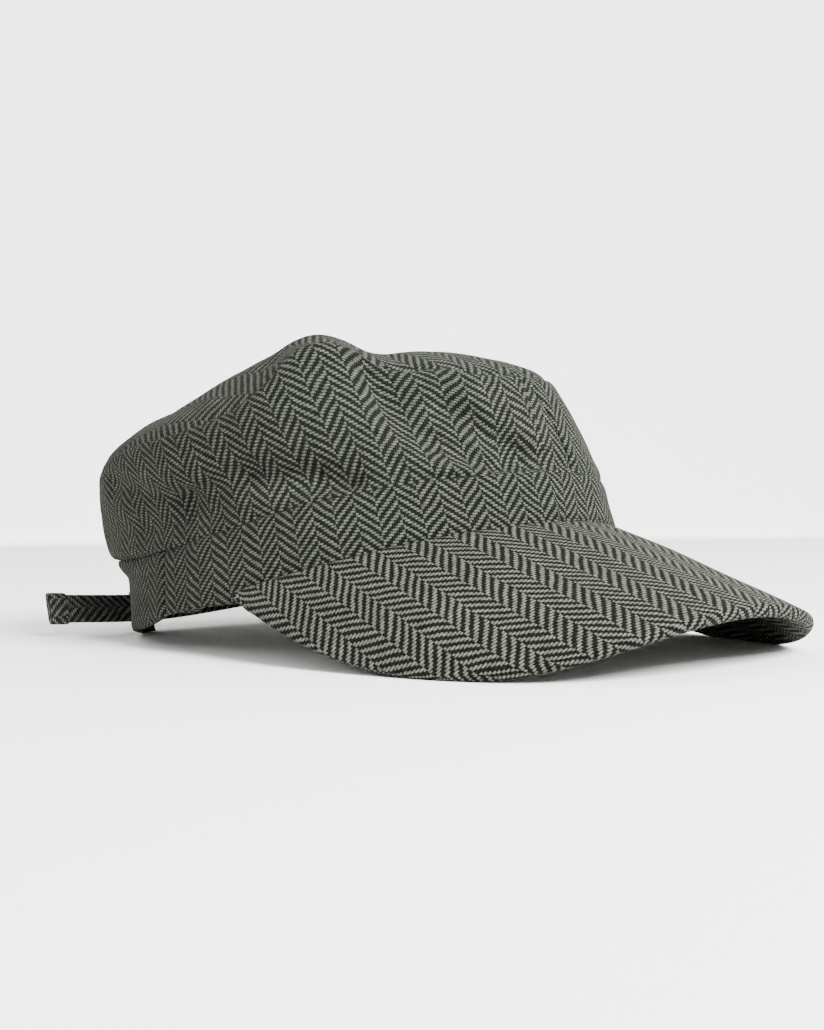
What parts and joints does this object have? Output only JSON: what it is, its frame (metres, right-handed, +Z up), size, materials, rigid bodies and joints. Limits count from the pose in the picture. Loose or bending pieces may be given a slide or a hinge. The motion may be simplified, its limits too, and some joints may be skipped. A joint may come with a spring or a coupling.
{
  "type": "cadet cap",
  "caption": "Soft cap with a low gathered crown on a narrow band, a curved stiff brim and an adjusting strap across the back opening.",
  "frame": {"origin": "on the surface that the cap stands on, under the middle of its box", "axes": "-Y is the cap's front and its brim, -X is the wearer's right, +Z is up"},
  "size_m": [0.1724, 0.285, 0.1057],
  "materials": {
    "crown_tweed": "coarse wool tweed, woven herringbone",
    "band_tweed": "coarse wool tweed, woven herringbone",
    "brim_tweed": "coarse wool tweed, woven herringbone",
    "strap_tweed": "coarse wool tweed, woven herringbone",
    "slide_steel": "dark plated wire"
  },
  "bodies": {
    "root": {"crown_top": "crown_tweed", "crown_side_right": "crown_tweed", "crown_side_left": "crown_tweed", "band_front": "band_tweed", "band_back_right": "band_tweed", "band_back_left": "band_tweed", "brim": "brim_tweed", "back_strap": "strap_tweed", "strap_slide": "slide_steel"}
  },
  "joints": []
}
